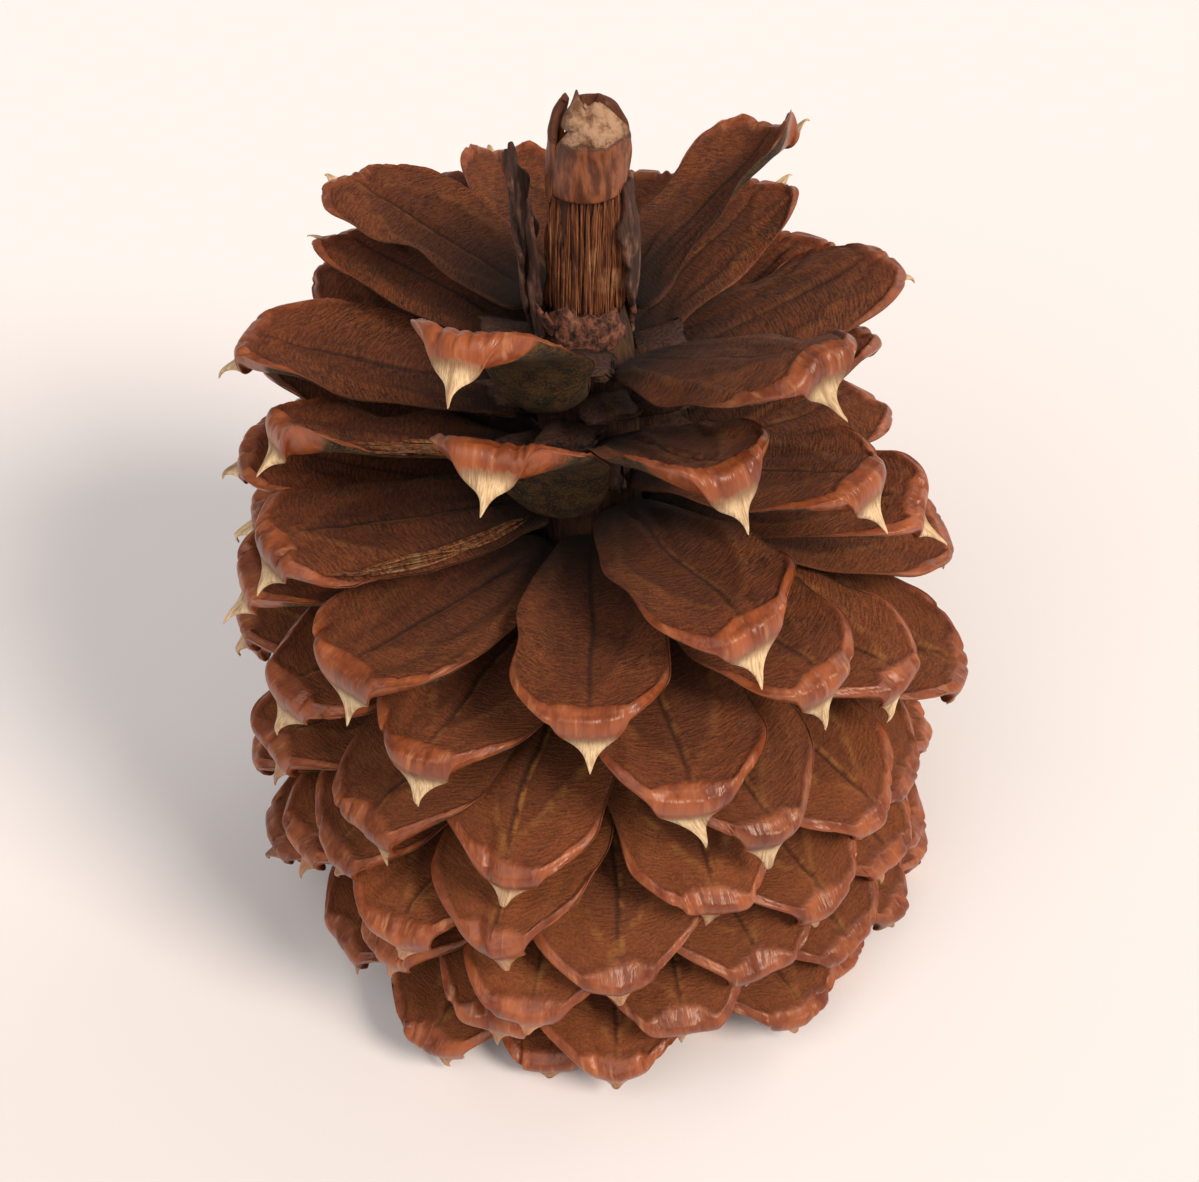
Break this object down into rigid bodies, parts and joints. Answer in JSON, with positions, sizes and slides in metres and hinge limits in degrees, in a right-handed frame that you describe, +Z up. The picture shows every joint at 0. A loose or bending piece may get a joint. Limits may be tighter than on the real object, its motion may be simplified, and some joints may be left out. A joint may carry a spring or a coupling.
{
  "type": "pine cone",
  "caption": "Large open woody pine cone standing tip up, with spiralling reddish-brown scales, pale hooked spines and a bare fibrous top of the axis.",
  "frame": {"origin": "on the ground, at the middle of the flat stalk scar under the cone's axis", "axes": "+Z up along the cone's axis from the stalk scar to the tip, -Y towards the side with the exposed axis, +X to that side's right"},
  "size_m": [0.1216, 0.12, 0.164],
  "materials": {
    "scale_wood": "satin, velvety upper faces, glossy outer rims and dull ivory spines",
    "lower_scale_wood": "satin, worn outer rims",
    "axis_fibre": "matt, splintered fibres",
    "tip_wood": "satin, pale fuzzy tip",
    "bark": "matt, dry and ragged"
  },
  "bodies": {
    "root": {"front_tip_scale": "tip_wood", "left_tip_scale": "tip_wood", "back_tip_scale": "tip_wood", "bark_flake": "bark", "scale_01": "scale_wood", "scale_02": "scale_wood", "scale_03": "scale_wood", "scale_04": "scale_wood", "scale_05": "scale_wood", "scale_06": "scale_wood", "scale_07": "scale_wood", "scale_08": "scale_wood", "scale_09": "scale_wood", "scale_10": "scale_wood", "scale_11": "scale_wood", "scale_12": "scale_wood", "scale_13": "scale_wood", "scale_14": "scale_wood", "scale_15": "scale_wood", "scale_16": "scale_wood", "scale_17": "scale_wood", "scale_18": "scale_wood", "scale_19": "scale_wood", "scale_20": "scale_wood", "scale_21": "scale_wood", "scale_22": "scale_wood", "scale_23": "scale_wood", "scale_24": "scale_wood", "scale_25": "scale_wood", "scale_26": "scale_wood", "scale_27": "scale_wood", "scale_28": "scale_wood", "scale_29": "scale_wood", "scale_30": "scale_wood", "scale_31": "scale_wood", "scale_32": "scale_wood", "scale_33": "scale_wood", "scale_34": "scale_wood", "scale_35": "scale_wood", "scale_36": "scale_wood", "scale_37": "scale_wood", "scale_38": "scale_wood", "scale_39": "scale_wood", "scale_40": "scale_wood", "scale_41": "scale_wood", "scale_42": "scale_wood", "scale_43": "scale_wood", "scale_44": "scale_wood", "scale_45": "scale_wood", "scale_46": "scale_wood", "scale_47": "scale_wood", "scale_48": "scale_wood", "scale_49": "scale_wood", "scale_50": "scale_wood", "scale_51": "scale_wood", "cone_axis": "axis_fibre", "split_scale": "bark", "lower_scales": "lower_scale_wood"}
  },
  "joints": []
}
